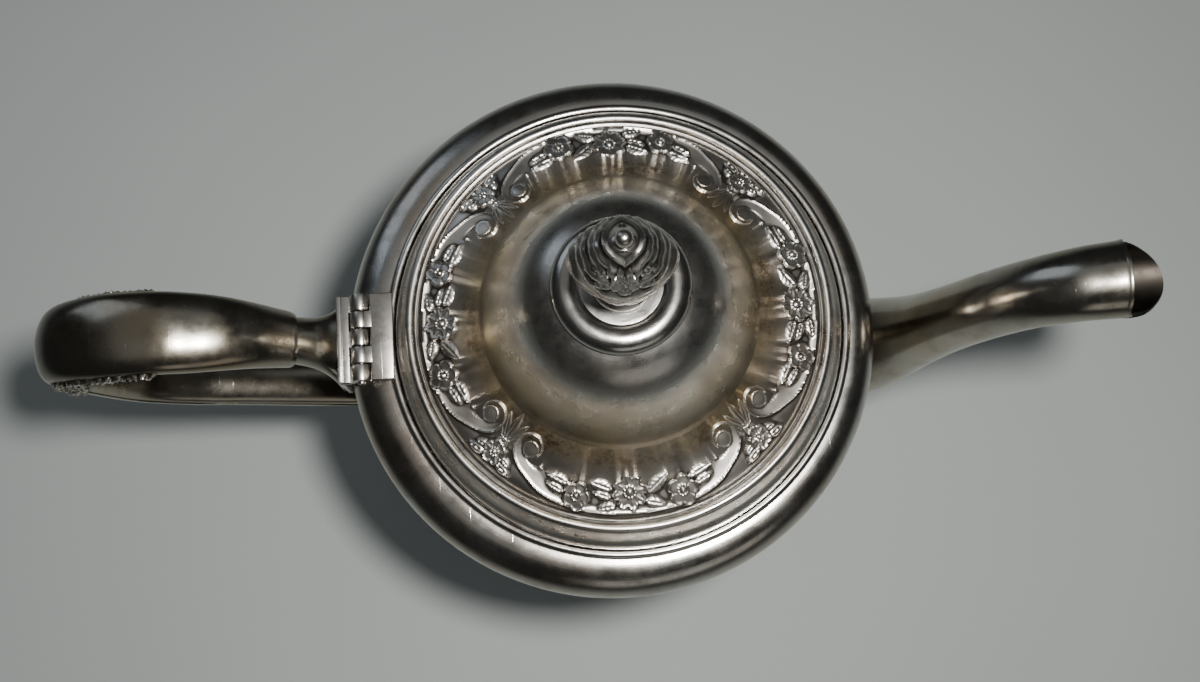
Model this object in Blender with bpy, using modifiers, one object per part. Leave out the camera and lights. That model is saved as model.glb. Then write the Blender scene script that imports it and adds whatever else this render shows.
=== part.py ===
"""Silver coffee pot: bellied body on a raised foot, swan-neck spout, hollow loop handle and hinged lid.

Units are metres. +Z is up, +X points along the spout, and the handle is on the -X side. Z = 0 is the
table. Profiles below are in millimetres and are converted where the meshes are made.
"""
import math

import bmesh
import bpy
import numpy as np
from mathutils import Vector

MM = 0.001
GAP = 0.3                  # between neighbouring pieces

# ---- driving dimensions, in millimetres -------------------------------------------------------
SEAM_Z = 165.0             # plane where the lid meets the mouth
HANDLE_REACH = 140.0       # from the lid's axis to the handle's outer edge
SPOUT_REACH = 127.6        # from the lid's axis to the spout's lower lip
LID_X = (HANDLE_REACH - SPOUT_REACH) / 2      # the lid's axis, so that the origin is mid-length
BODY_SHIFT = -1.7          # the belly's axis lies this far behind the lid's
BODY_X = LID_X + BODY_SHIFT

LID_R = 57.0               # outside of the lid's rim wire
RIM_WIRE_W = 2.2
SHOULDER_R = 65.9          # widest radius of the body
SHOULDER_DROP = 8.0
SHOULDER_BOTTOM = -10.0
SHEET = 1.2                # silver sheet of the body
LID_SHEET = 1.0

HINGE_X = -63.2            # pin axis, from the lid's axis
HINGE_Z = 1.8              # above the seam plane
BARREL_R = 2.5
PIN_R = 0.9
BORE_R = 1.25
HINGE_WIDTH = 21.6
KNUCKLES = 5

FOOT_TOP_Z = 37.0
BODY_BOTTOM_Z = 41.0

LID_STEPS = 40
BODY_STEPS = 36
SMALL_STEPS = 20


# ---- outlines, in millimetres -------------------------------------------------------------------
def through(points, per_span):
    """Points on a Catmull-Rom curve that passes through all of the given rows of numbers."""
    rows = np.array(points, dtype=float)
    padded = np.vstack([2 * rows[0] - rows[1], rows, 2 * rows[-1] - rows[-2]])
    result = []
    for i in range(len(rows) - 1):
        a, b, c, d = padded[i:i + 4]
        for step in range(per_span):
            t = step / per_span
            result.append(0.5 * (2 * b + (c - a) * t + (2 * a - 5 * b + 4 * c - d) * t ** 2
                                 + (3 * b - a - 3 * c + d) * t ** 3))
    result.append(rows[-1])
    return [tuple(row) for row in result]


def arc(centre, radii, start, end, count):
    """Points on an elliptical arc; the angles are in degrees, anticlockwise from +X."""
    angles = np.radians(np.linspace(start, end, count))
    return [(centre[0] + radii[0] * math.cos(a), centre[1] + radii[1] * math.sin(a)) for a in angles]


BODY_OUTLINE = through([(65.7, 154.7), (65.1, 140.0), (62.2, 120.0), (56.4, 101.0),
                        (47.0, 83.0), (36.0, 67.0), (28.0, 54.0), (24.5, 41.5)], 1) + [(21.0, BODY_BOTTOM_Z)]

LID_OUTLINE = ([(2.6, 44.6), (15.0, 43.4)]
               + through([(19.5, 40.6), (24.7, 34.8), (28.0, 27.5), (33.0, 19.8), (39.5, 14.8)], 1)
               + [(44.0, 13.2), (47.8, 10.4), (48.6, 9.9)]
               + arc((50.2, 9.6), (1.7, 1.4), 150, -10, 5)
               + through([(52.2, 6.0), (53.1, 3.9), (54.3, 2.3)], 1))

FOOT_OUTLINE = through([(22.5, FOOT_TOP_Z), (24.0, 31.0), (28.5, 24.0), (36.0, 18.5), (40.0, 12.0), (41.0, 6.3)], 1)

FINIAL_OUTLINE = through([(0.6, 84.5), (2.1, 83.4), (2.5, 81.6), (2.3, 79.6), (5.0, 76.2), (8.6, 71.6), (11.7, 67.0),
                          (10.4, 62.6), (6.4, 58.6), (3.6, 53.8), (5.0, 49.0), (6.6, 46.8)], 1)
FINIAL_HOLE = [(1.9, 46.8), (1.9, 53.5)]

# Stations along the spout: the lower edge, the upper edge, and the width across.
SPOUT_STATIONS = [(40.0, -88.0, 28.0, -62.0, 36.0), (60.0, -79.5, 42.0, -54.5, 33.0), (73.0, -66.0, 53.0, -46.5, 28.6),
                  (82.4, -49.4, 61.0, -36.6, 25.0), (88.0, -33.0, 71.0, -25.0, 19.6),
                  (92.6, -18.2, 77.4, -11.8, 17.1), (98.6, -2.5, 85.4, 4.5, 16.6),
                  (104.7, 7.4, 94.1, 16.6, 16.8), (111.5, 13.0, 103.4, 24.3, 17.6),
                  (119.4, 15.6, 110.2, 28.2, 18.2), (SPOUT_REACH, 18.4, 116.4, 29.6, 18.8)]
SPOUT_WALL = 1.1

# Stations along the handle: the inner edge, the outer edge, and the width across.
NECK_STATIONS = [(-69.4, -15.6, -69.4, -1.0, 22.0), (-75.4, -4.4, -70.4, 3.0, 14.6), (-79.4, 2.2, -73.6, 8.0, 11.6)]
GRIP_STATIONS = [(-80.0, 1.6, -73.4, 9.0, 13.0), (-88.6, 10.0, -82.6, 16.2, 15.6), (-94.0, 14.2, -90.6, 21.2, 17.6),
                 (-101.0, 17.0, -99.2, 24.2, 19.0), (-108.4, 18.8, -108.0, 26.0, 19.6),
                 (-119.8, 17.4, -122.6, 24.6, 20.0), (-129.0, 12.6, -135.0, 18.4, 18.8),
                 (-132.4, 5.6, -HANDLE_REACH, 7.4, 17.2), (-131.2, -8.0, -138.6, -9.6, 16.0),
                 (-124.8, -25.6, -131.8, -29.6, 15.4), (-113.6, -36.0, -118.0, -43.2, 15.0),
                 (-101.2, -42.8, -104.8, -51.0, 14.4), (-72.6, -57.8, -76.6, -66.4, 14.0)]
TAIL_STATIONS = [(-72.0, -57.4, -76.0, -66.8, 14.4), (-62.0, -62.0, -66.0, -73.6, 16.6), (-44.0, -68.0, -50.0, -86.0, 21.0)]


# ---- materials ----------------------------------------------------------------------------------
def metal(name, colour, roughness):
    """A Principled material for a metal of one colour."""
    material = bpy.data.materials.new(name)
    material.use_nodes = True
    shader = material.node_tree.nodes["Principled BSDF"]
    shader.inputs["Base Color"].default_value = (*colour, 1.0)
    shader.inputs["Metallic"].default_value = 1.0
    shader.inputs["Roughness"].default_value = roughness
    return material


SILVER = (0.58, 0.56, 0.52)
WARM_SILVER = (0.52, 0.47, 0.40)
DARK_SILVER = (0.34, 0.32, 0.29)
STEEL = (0.42, 0.41, 0.40)


# ---- making objects -------------------------------------------------------------------------------
def clear_scene():
    for obj in list(bpy.data.objects):
        bpy.data.objects.remove(obj, do_unlink=True)


def add_collection(name):
    collection = bpy.data.collections.new(name)
    bpy.context.scene.collection.children.link(collection)
    return collection


def add_object(name, mesh, collection, colour=None, roughness=0.28):
    obj = bpy.data.objects.new(name, mesh)
    collection.objects.link(obj)
    if colour is not None:
        mesh.materials.append(metal(name, colour, roughness))
    return obj


def add_cutter(name, mesh):
    obj = add_object(name, mesh, cutters)
    obj.hide_render = True
    obj.display_type = 'WIRE'
    return obj


def place(obj, x=0.0, y=0.0, z=0.0):
    obj.location = (x * MM, y * MM, z * MM)
    return obj


def screw(obj, steps):
    """Turn the object's profile once round its Z axis."""
    modifier = obj.modifiers.new("Turn", 'SCREW')
    modifier.angle = 2 * math.pi
    modifier.steps = steps
    modifier.render_steps = steps
    modifier.use_merge_vertices = True
    modifier.merge_threshold = 0.00005
    modifier.use_smooth_shade = True
    return modifier


def profile_mesh(name, outline, closed):
    """A chain of edges in the XZ plane; a closed one is the section of a ring."""
    count = len(outline)
    edges = [(i, (i + 1) % count) for i in range(count if closed else count - 1)]
    mesh = bpy.data.meshes.new(name)
    mesh.from_pydata([(r * MM, 0.0, z * MM) for r, z in outline], edges, [])
    return mesh


def turned_ring(name, outline, steps, colour, x, z=0.0, roughness=0.28):
    """A solid ring: its section runs down the outside and back up the inside."""
    obj = add_object(name, profile_mesh(name, outline, True), pot, colour, roughness)
    screw(obj, steps)
    return place(obj, x, 0.0, z)


def turned_shell(name, outline, wall, steps, colour, x, z=0.0, roughness=0.28):
    """A thin shell: the outline is its outer face from top to bottom, thickened inwards."""
    obj = add_object(name, profile_mesh(name, outline, False), pot, colour, roughness)
    screw(obj, steps)
    solidify = obj.modifiers.new("Wall", 'SOLIDIFY')
    solidify.thickness = wall * MM
    solidify.offset = -1.0
    solidify.use_even_offset = True
    return place(obj, x, 0.0, z)


def loft_mesh(name, stations, per_span, sides, capped, grow=0.0):
    """Oval sections along a path in the XZ plane, one for each row of `stations`."""
    rows = through(stations, per_span)
    bm = bmesh.new()
    rings = []
    for x0, z0, x1, z1, width in rows:
        centre = Vector(((x0 + x1) / 2, 0.0, (z0 + z1) / 2)) * MM
        half = Vector((x1 - x0, 0.0, z1 - z0)) * MM / 2
        half += half.normalized() * grow * MM
        across = Vector((0.0, width / 2 + grow, 0.0)) * MM
        angles = [2 * math.pi * k / sides for k in range(sides)]
        rings.append([bm.verts.new(centre + half * math.cos(a) + across * math.sin(a)) for a in angles])
    for first, second in zip(rings, rings[1:]):
        for k in range(sides):
            j = (k + 1) % sides
            bm.faces.new((first[k], first[j], second[j], second[k]))
    if capped:
        bm.faces.new(rings[0])
        bm.faces.new(reversed(rings[-1]))
    bmesh.ops.recalc_face_normals(bm, faces=bm.faces)
    mesh = bpy.data.meshes.new(name)
    bm.to_mesh(mesh)
    bm.free()
    mesh.shade_smooth()
    return mesh


def box_mesh(name, low, high):
    """A box between two corners, in millimetres."""
    bm = bmesh.new()
    bmesh.ops.create_cube(bm, size=1.0)
    size = [(b - a) * MM for a, b in zip(low, high)]
    middle = [(a + b) / 2 * MM for a, b in zip(low, high)]
    bmesh.ops.scale(bm, vec=size, verts=bm.verts)
    bmesh.ops.translate(bm, vec=middle, verts=bm.verts)
    mesh = bpy.data.meshes.new(name)
    bm.to_mesh(mesh)
    bm.free()
    return mesh


def rod_mesh(name, radius, start, end, sides=16):
    """A solid cylinder from one point to another, in millimetres."""
    start = Vector(start)
    end = Vector(end)
    bm = bmesh.new()
    bmesh.ops.create_cone(bm, cap_ends=True, segments=sides, radius1=radius * MM, radius2=radius * MM,
                          depth=(end - start).length * MM)
    turn = Vector((0, 0, 1)).rotation_difference(end - start).to_matrix()
    bmesh.ops.rotate(bm, matrix=turn, verts=bm.verts)
    bmesh.ops.translate(bm, vec=(start + end) / 2 * MM, verts=bm.verts)
    mesh = bpy.data.meshes.new(name)
    bm.to_mesh(mesh)
    bm.free()
    return mesh


def boolean(obj, other, operation='DIFFERENCE'):
    modifier = obj.modifiers.new(other.name, 'BOOLEAN')
    modifier.operation = operation
    modifier.object = other
    return modifier


def smooth(obj, degrees=40.0):
    obj.data.shade_smooth()
    obj.data.set_sharp_from_angle(angle=math.radians(degrees))
    return obj


# ---- the body ---------------------------------------------------------------------------------------
def body_shell():
    """The raised body, with a strainer of drilled holes where the spout is soldered on."""
    obj = turned_shell("body_shell", BODY_OUTLINE + [(0.0, BODY_BOTTOM_Z)], SHEET, BODY_STEPS, SILVER, BODY_X)
    pitch = 7.0
    centres = [(0.0, 92.0)] + [(pitch * math.cos(a), 92.0 + pitch * math.sin(a))
                               for a in np.radians(np.arange(6) * 60.0)]
    for number, (y, z) in enumerate(centres, 1):
        name = "strainer_hole_%d" % number
        hole = add_cutter(name, rod_mesh(name, 2.0, (30.0, y, z), (80.0, y, z), 10))
        boolean(obj, place(hole, BODY_X))
    return obj


def body_clearance():
    """A solid that fills the body and stands one gap proud of it, to trim what is soldered on."""
    outline = [(0.0, SEAM_Z)] + [(r + GAP, z) for r, z in BODY_OUTLINE] + [(0.0, BODY_BOTTOM_Z)]
    outline.insert(1, (SHOULDER_R + GAP, SEAM_Z))
    cutter = add_cutter("body_clearance", profile_mesh("body_clearance", outline, False))
    screw(cutter, BODY_STEPS)
    return place(cutter, BODY_X)


def shoulder_ring():
    """The rounded shoulder; its mouth is centred on the lid and its outside on the body."""
    inner_r = 54.8
    curl = (SHOULDER_R - LID_R - 0.5, SHOULDER_DROP)
    outer = arc((LID_R + 0.5, -SHOULDER_DROP), curl, 90, 0, 6)
    inner = arc((LID_R + 0.5, -SHOULDER_DROP), (curl[0] - SHEET, curl[1] - SHEET), 0, 90, 4)
    outline = ([(inner_r, 0.0)] + outer + [(SHOULDER_R, SHOULDER_BOTTOM), (SHOULDER_R - SHEET, SHOULDER_BOTTOM)]
               + inner + [(inner_r, -SHEET)])
    obj = turned_ring("shoulder_ring", outline, BODY_STEPS, SILVER, BODY_X, SEAM_Z)
    shape = bpy.data.meshes.new_from_object(obj.evaluated_get(bpy.context.evaluated_depsgraph_get()))
    for vert in shape.vertices:
        radius = math.hypot(vert.co.x, vert.co.y) / MM
        inward = min(1.0, max(0.0, (SHOULDER_R - radius) / (SHOULDER_R - LID_R)))
        vert.co.x -= BODY_SHIFT * inward * MM
    obj.modifiers.clear()
    obj.data = shape
    return obj


def mouth_collar():
    outline = [(54.5, 0.0), (54.5, -SHEET), (53.4, -SHEET), (53.4, -9.0), (52.4, -9.0), (52.4, 0.0)]
    return turned_ring("mouth_collar", outline, LID_STEPS, SILVER, LID_X, SEAM_Z)


def waist_collar():
    low = FOOT_TOP_Z + GAP
    high = BODY_BOTTOM_Z - GAP
    middle = (low + high) / 2
    outline = [(22.0, high)] + arc((25.4, middle), (2.0, (high - low) / 2), 90, -90, 6) + [(22.0, low)]
    return turned_ring("waist_collar", outline, BODY_STEPS, WARM_SILVER, BODY_X)


def foot_dome():
    return turned_shell("foot_dome", FOOT_OUTLINE, SHEET, BODY_STEPS, SILVER, BODY_X)


def foot_rim():
    outline = ([(39.6, 6.0)] + arc((40.6, 3.6), (2.9, 2.4), 90, 0, 4) + [(43.5, 1.2), (42.6, 0.0), (38.6, 0.0), (38.6, 5.0)])
    return turned_ring("foot_rim", outline, BODY_STEPS, SILVER, BODY_X)


# ---- the spout --------------------------------------------------------------------------------------
def spout(trim):
    obj = add_object("spout", loft_mesh("spout", SPOUT_STATIONS, 2, 16, False), pot, WARM_SILVER)
    solidify = obj.modifiers.new("Wall", 'SOLIDIFY')
    solidify.thickness = SPOUT_WALL * MM
    solidify.offset = -1.0
    boolean(obj, trim)
    return place(obj, LID_X, 0.0, SEAM_Z)


def spout_mount(trim):
    """The cast mount that wraps the spout's root and covers its solder line."""
    stations = [(40.0, -93.0, 26.0, -57.0, 44.0), (62.0, -83.5, 40.0, -50.0, 38.0), (75.0, -68.0, 51.5, -44.0, 31.4)]
    obj = add_object("spout_mount", loft_mesh("spout_mount", stations, 2, 16, True), pot, WARM_SILVER)
    inside = add_cutter("spout_clearance", loft_mesh("spout_clearance", SPOUT_STATIONS, 2, 16, True, 2 * GAP))
    place(inside, LID_X, 0.0, SEAM_Z)
    boolean(obj, inside)
    boolean(obj, trim)
    return place(obj, LID_X, 0.0, SEAM_Z)


# ---- the handle -------------------------------------------------------------------------------------
def handle_part(name, stations, sides=12, trim=None):
    obj = add_object(name, loft_mesh(name, stations, 2, sides, True), pot, WARM_SILVER)
    if trim is not None:
        boolean(obj, trim)
    return place(obj, LID_X, 0.0, SEAM_Z)


def handle(trim):
    """The handle's upper socket, its grip and its lower socket, end to end."""
    return [handle_part("handle_neck", NECK_STATIONS), handle_part("handle_grip", GRIP_STATIONS),
            handle_part("handle_tail", TAIL_STATIONS, trim=trim)]


# ---- the hinge --------------------------------------------------------------------------------------
def knuckle_span(index):
    """Where one knuckle of the barrel starts and ends along Y."""
    pitch = (HINGE_WIDTH + GAP) / KNUCKLES
    start = -HINGE_WIDTH / 2 + index * pitch
    return start, start + pitch - GAP


def hinge_leaf(name, owned, plate, webs):
    """A leaf of the hinge: its plate and knuckles in one piece, drilled for the pin.

    The object's origin is on the pin's axis.
    """
    obj = add_object(name, box_mesh(name, *plate), pot, SILVER)
    for index in range(KNUCKLES):
        start, end = knuckle_span(index)
        label = "%s_%d" % (name, index)
        if index in owned:
            barrel = add_cutter(label, rod_mesh(label, BARREL_R, (0, start, 0), (0, end, 0)))
            boolean(obj, barrel, 'UNION').object.parent = obj
            low, high = webs
            web = add_cutter(label + "_web", box_mesh(label, (low[0], start, low[1]), (high[0], end, high[1])))
            boolean(obj, web, 'UNION').object.parent = obj
        else:
            room = add_cutter(label, rod_mesh(label, BARREL_R + GAP, (0, start - GAP, 0), (0, end + GAP, 0)))
            boolean(obj, room).object.parent = obj
    bore = add_cutter(name + "_bore", rod_mesh(name, BORE_R, (0, -HINGE_WIDTH, 0), (0, HINGE_WIDTH, 0)))
    boolean(obj, bore).object.parent = obj
    return obj


def body_leaf():
    half = HINGE_WIDTH / 2
    plate = ((-5.9, -half, -16.0), (-4.7, half, 0.4))
    return hinge_leaf("hinge_body_leaf", (0, 2, 4), plate, ((-5.5, -BARREL_R), (-1.0, 0.0)))


def lid_leaf():
    half = knuckle_span(KNUCKLES - 1)[1]
    plate = ((1.2, -half, 1.0), (8.2, half, 2.1))
    return hinge_leaf("hinge_lid_leaf", (1, 3), plate, ((0.0, 1.0), (1.6, 2.1)))


def hinge_pin():
    end = HINGE_WIDTH / 2 + 0.7
    return add_object("hinge_pin", rod_mesh("hinge_pin", PIN_R, (0, -end, 0), (0, end, 0)), pot, DARK_SILVER)


# ---- the lid ----------------------------------------------------------------------------------------
def lid_shell():
    return turned_shell("lid_shell", LID_OUTLINE, LID_SHEET, LID_STEPS, SILVER, 0.0)


def lid_rim_wire():
    inner_r = LID_R - RIM_WIRE_W
    middle = (LID_R + inner_r) / 2
    outline = [(inner_r, 1.3)] + arc((middle, 1.3), (RIM_WIRE_W / 2, 1.0), 150, 0, 5) + [(LID_R, GAP), (inner_r, GAP)]
    return turned_ring("lid_rim_wire", outline, LID_STEPS, SILVER, 0.0)


def lid_bezel():
    outline = [(53.0, 1.0), (54.5, 1.0), (54.5, GAP), (51.2, GAP), (51.2, -6.0), (50.2, -6.0), (50.2, 1.0)]
    return turned_ring("lid_bezel", outline, LID_STEPS, SILVER, 0.0)


def lid_cushion():
    """The small domed ring under the finial, dished in the middle."""
    outline = ([(8.6, 46.5)] + arc((11.0, 44.6), (3.6, 2.6), 140, 0, 6) + [(14.6, 44.0), (2.6, 45.0), (2.6, 46.5)])
    return turned_ring("lid_cushion", outline, SMALL_STEPS, SILVER, 0.0)


def finial():
    outline = FINIAL_OUTLINE + FINIAL_HOLE + [(0.0, 53.5)]
    outline[0] = (0.0, outline[0][1])
    mesh = profile_mesh("finial", outline, False)
    obj = add_object("finial", mesh, pot, WARM_SILVER)
    screw(obj, SMALL_STEPS)
    shape = bpy.data.meshes.new_from_object(obj.evaluated_get(bpy.context.evaluated_depsgraph_get()))
    for vert in shape.vertices:
        vert.co.y *= 0.76
    obj.modifiers.clear()
    obj.data = shape
    return obj


def finial_stud():
    return add_object("finial_stud", rod_mesh("finial_stud", 1.2, (0, 0, 38.0), (0, 0, 52.8), 12), pot, STEEL)


def finial_washer():
    outline = [(1.7, 43.0), (5.5, 43.0), (5.5, 42.2), (1.7, 42.2)]
    return turned_ring("finial_washer", outline, SMALL_STEPS, STEEL, 0.0)


def finial_nut():
    obj = add_object("finial_nut", rod_mesh("finial_nut", 3.8, (0, 0, 39.2), (0, 0, 41.9), 6), pot, STEEL)
    hole = add_cutter("nut_hole", rod_mesh("nut_hole", 1.6, (0, 0, 36.0), (0, 0, 45.0), 12))
    boolean(obj, hole)
    return obj, hole


# ---- assembly ---------------------------------------------------------------------------------------
def hang_on_hinge(objects, hinge):
    """Parent the lid's pieces, whose meshes are drawn about the lid's axis, to the hinge axis."""
    for obj in objects:
        obj.parent = hinge
        place(obj, -HINGE_X, 0.0, -HINGE_Z)


def build():
    trim = body_clearance()
    body_shell()
    shoulder_ring()
    mouth_collar()
    waist_collar()
    foot_dome()
    foot_rim()
    spout(trim)
    spout_mount(trim)
    handle(trim)

    axis = (LID_X + HINGE_X, 0.0, SEAM_Z + HINGE_Z)
    place(body_leaf(), *axis)
    place(hinge_pin(), *axis)

    hinge = bpy.data.objects.new("lid_hinge_axis", None)
    pot.objects.link(hinge)
    place(hinge, *axis)
    leaf = lid_leaf()
    leaf.parent = hinge
    nut, nut_hole = finial_nut()
    hang_on_hinge([lid_shell(), lid_rim_wire(), lid_bezel(), lid_cushion(), finial(), finial_stud(),
                   finial_washer(), nut, nut_hole], hinge)


clear_scene()
pot = add_collection("coffee_pot")
cutters = add_collection("cutters")
build()
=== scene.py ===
"""The silver coffee pot's looks: smooth turned silver, a chased flower band, cast handle and finial.

Lengths in the outlines are millimetres from the lid's axis and the plane where the lid meets the
mouth, both of which are read from the frame. Everything else is in metres.
"""
import math

import bmesh
import bpy
import numpy as np
from mathutils import Matrix, Vector


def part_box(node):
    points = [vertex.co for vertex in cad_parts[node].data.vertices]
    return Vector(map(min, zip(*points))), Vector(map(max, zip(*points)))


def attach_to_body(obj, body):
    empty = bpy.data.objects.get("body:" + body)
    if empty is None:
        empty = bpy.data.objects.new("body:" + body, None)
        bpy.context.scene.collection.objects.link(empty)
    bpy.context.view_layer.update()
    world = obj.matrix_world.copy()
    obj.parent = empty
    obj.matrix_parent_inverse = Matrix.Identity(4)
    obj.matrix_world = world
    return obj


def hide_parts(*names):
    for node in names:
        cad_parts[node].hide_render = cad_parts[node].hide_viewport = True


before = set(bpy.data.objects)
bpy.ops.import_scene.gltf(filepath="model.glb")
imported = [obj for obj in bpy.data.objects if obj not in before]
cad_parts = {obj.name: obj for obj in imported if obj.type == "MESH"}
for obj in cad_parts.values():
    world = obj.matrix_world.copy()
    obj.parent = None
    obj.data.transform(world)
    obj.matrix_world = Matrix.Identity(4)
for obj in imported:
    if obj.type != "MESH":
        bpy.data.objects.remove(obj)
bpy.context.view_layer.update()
MM = 0.001
GAP = 0.3                  # clearance between neighbouring pieces
AROUND = 256               # steps round a turned piece


# ---- places, from the frame ----
def middle(node):
    low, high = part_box(node)
    return (low + high) / 2


LID_X = middle("lid_rim_wire").x
BODY_X = middle("body_shell").x
SEAM_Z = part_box("mouth_collar")[1].z
BODY_SHIFT = (BODY_X - LID_X) / MM
FLOOR_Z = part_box("foot_rim")[0].z
TABLE = (FLOOR_Z - SEAM_Z) / MM          # the table's height in the outlines' units, about -165
PIN = middle("hinge_pin")
PIN_X = (PIN.x - LID_X) / MM
PIN_Z = (PIN.z - SEAM_Z) / MM


# ---- curves and grids ----
def through(points, per_span):
    """Points on a Catmull-Rom curve that passes through all of the given rows of numbers."""
    rows = np.array(points, dtype=float)
    padded = np.vstack([2 * rows[0] - rows[1], rows, 2 * rows[-1] - rows[-2]])
    result = []
    t = (np.arange(per_span) / per_span)[:, None]
    for i in range(len(rows) - 1):
        a, b, c, d = padded[i:i + 4]
        result.append(0.5 * (2 * b + (c - a) * t + (2 * a - 5 * b + 4 * c - d) * t ** 2
                             + (3 * b - a - 3 * c + d) * t ** 3))
    return np.vstack(result + [rows[-1:]])


def arc(centre, radii, start, end, count):
    """Points on an elliptical arc; the angles are in degrees, anticlockwise from +X."""
    angles = np.radians(np.linspace(start, end, count))
    return np.stack([centre[0] + radii[0] * np.cos(angles), centre[1] + radii[1] * np.sin(angles)], 1)


def circle(count):
    """Points on a unit circle, without the last one, which would repeat the first."""
    return arc((0, 0), (1, 1), 0, 360, count + 1)[:-1]


def joined(*runs):
    return np.vstack([np.array(run, dtype=float) for run in runs])


def smoothstep(low, high, x):
    t = np.clip((x - low) / (high - low), 0.0, 1.0)
    return t * t * (3 - 2 * t)


def plateau(start, full, still_full, end, x):
    """Rises from 0 to 1 between the first two places, and falls back between the last two."""
    return smoothstep(start, full, x) * (1 - smoothstep(still_full, end, x))


def dome(distance):
    """Height of a unit hemisphere at a distance from its middle."""
    return np.clip(1 - distance ** 2, 0, 1) ** 0.5


def ridge(x):
    """A smooth ridge, 1 high, along the place where x is zero."""
    return np.exp(-x ** 2)


def evenly(line, count):
    """The same line of points, with `count` of them at equal distances."""
    distance = np.concatenate([[0], np.cumsum(np.linalg.norm(np.diff(line, axis=0), axis=1))])
    wanted = np.linspace(0, 1, count) * distance[-1]
    return np.stack([np.interp(wanted, distance, line[:, k]) for k in range(3)], -1)


def mesh_from_grid(name, points, wrap_rows=False, caps=False, relief=None):
    """A mesh of quads through an array of points in outline units: rows, columns, XYZ.

    Every row closes on itself. `relief` says how exposed each point is, as wear() has it, and is
    kept as an attribute for the patina.
    """
    rows, columns, _ = points.shape
    world = points.reshape(-1, 3) * MM + np.array([LID_X, 0.0, SEAM_Z])
    index = np.arange(rows * columns).reshape(rows, columns)
    down = np.vstack([index, index[:1]]) if wrap_rows else index
    across = np.hstack([down, down[:, :1]])
    quads = np.stack([across[:-1, :-1], across[:-1, 1:], across[1:, 1:], across[1:, :-1]], -1).reshape(-1, 4)
    faces = quads.tolist()
    if caps:
        faces.append(index[0].tolist()[::-1])
        faces.append(index[-1].tolist())
    mesh = bpy.data.meshes.new(name)
    mesh.from_pydata(world.tolist(), [], faces)
    if relief is not None:
        attribute = mesh.attributes.new("relief", 'FLOAT', 'POINT')
        attribute.data.foreach_set("value", relief.ravel().astype(np.float32))
    return cleaned(mesh)


def cleaned(mesh):
    """Weld what coincides and turn the faces outward."""
    bm = bmesh.new()
    bm.from_mesh(mesh)
    bmesh.ops.remove_doubles(bm, verts=bm.verts, dist=0.0000005)
    bmesh.ops.dissolve_degenerate(bm, edges=bm.edges, dist=0.0000001)
    bmesh.ops.recalc_face_normals(bm, faces=bm.faces)
    bm.to_mesh(mesh)
    bm.free()
    return mesh


def together(name, meshes):
    """One mesh holding several."""
    bm = bmesh.new()
    for mesh in meshes:
        bm.from_mesh(mesh)
    merged = bpy.data.meshes.new(name)
    bm.to_mesh(merged)
    bm.free()
    return merged


def new_object(name, data):
    obj = bpy.data.objects.new(name, data)
    bpy.context.scene.collection.objects.link(obj)
    return obj


def add_piece(name, mesh, body, material, sharp=35.0, replaces=None):
    """Put a finished mesh in the scene, riding on a CAD body."""
    mesh.shade_smooth()
    mesh.set_sharp_from_angle(angle=math.radians(sharp))
    mesh.materials.append(material)
    obj = new_object(name, mesh)
    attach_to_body(obj, body)
    if replaces:
        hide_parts(replaces)
    return obj


def turned(outline, segments, centre=0.0, closed=False):
    """An outline of radii and heights turned round a vertical axis; `centre` may vary by row."""
    outline = np.array(outline, dtype=float)
    if closed:
        outline = np.vstack([outline, outline[:1]])
    angles = np.linspace(0, 2 * np.pi, segments, endpoint=False)
    shift = np.broadcast_to(np.array(centre, dtype=float), (len(outline),))
    x = outline[:, :1] * np.cos(angles) + shift[:, None]
    y = outline[:, :1] * np.sin(angles)
    z = np.repeat(outline[:, 1:2], segments, axis=1)
    return np.stack([x, y, z], -1)


def offset_outline(outline, distance):
    """The outline moved sideways, to the right of its direction of travel, by `distance`."""
    outline = np.array(outline, dtype=float)
    direction = np.gradient(outline, axis=0)
    direction /= np.linalg.norm(direction, axis=1)[:, None]
    return outline + distance * np.stack([direction[:, 1], -direction[:, 0]], 1)


# ---- camera, lights and table ----
VIEW_TILT = math.radians(10.9)
IMAGE_UP = Vector((0.056, 0.9984, 0.0))
CAMERA_AT = Vector((LID_X - 0.0084, -0.0686, SEAM_Z + 0.3384))
SENSOR_WIDTH = 36.0
FOCAL_LENGTH = 42.0
ROOM_COLOUR = (0.52, 0.55, 0.55, 1.0)
ROOM_STRENGTH = 0.045
LIGHTS = [                 # name, place, what it is aimed at, width, power, colour, height
    ("key", (LID_X + 0.047, -0.050, FLOOR_Z + 0.563), (LID_X, 0, FLOOR_Z + 0.1), 0.04, 2.5,
     (1.0, 0.985, 0.95)),
    ("window", (-0.75, 0.75, 0.75), (0, 0, 0.15), 0.5, 0.9, (0.72, 0.84, 1.0), 0.7),
    ("ceiling", (0.0, 0.10, 1.30), (0, 0, 0), 1.5, 1.35, (0.97, 1.0, 1.0), 1.5),
    ("front", (0.30, -1.05, 0.50), (0, 0, 0.17), 1.0, 0.65, (1.0, 0.97, 0.92), 0.45)]
TABLE_HALF = 3.0


def make_camera():
    data = bpy.data.cameras.new("camera")
    data.sensor_width = SENSOR_WIDTH
    data.lens = FOCAL_LENGTH
    data.clip_start = 0.01
    camera = new_object("camera", data)
    right = Vector((IMAGE_UP.y, -IMAGE_UP.x, 0.0))
    up = IMAGE_UP * math.cos(VIEW_TILT) + Vector((0, 0, 1)) * math.sin(VIEW_TILT)
    back = right.cross(up)
    rotation = Matrix((right, up, back)).transposed()
    camera.matrix_world = Matrix.Translation(CAMERA_AT) @ rotation.to_4x4()
    bpy.context.scene.camera = camera


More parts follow.
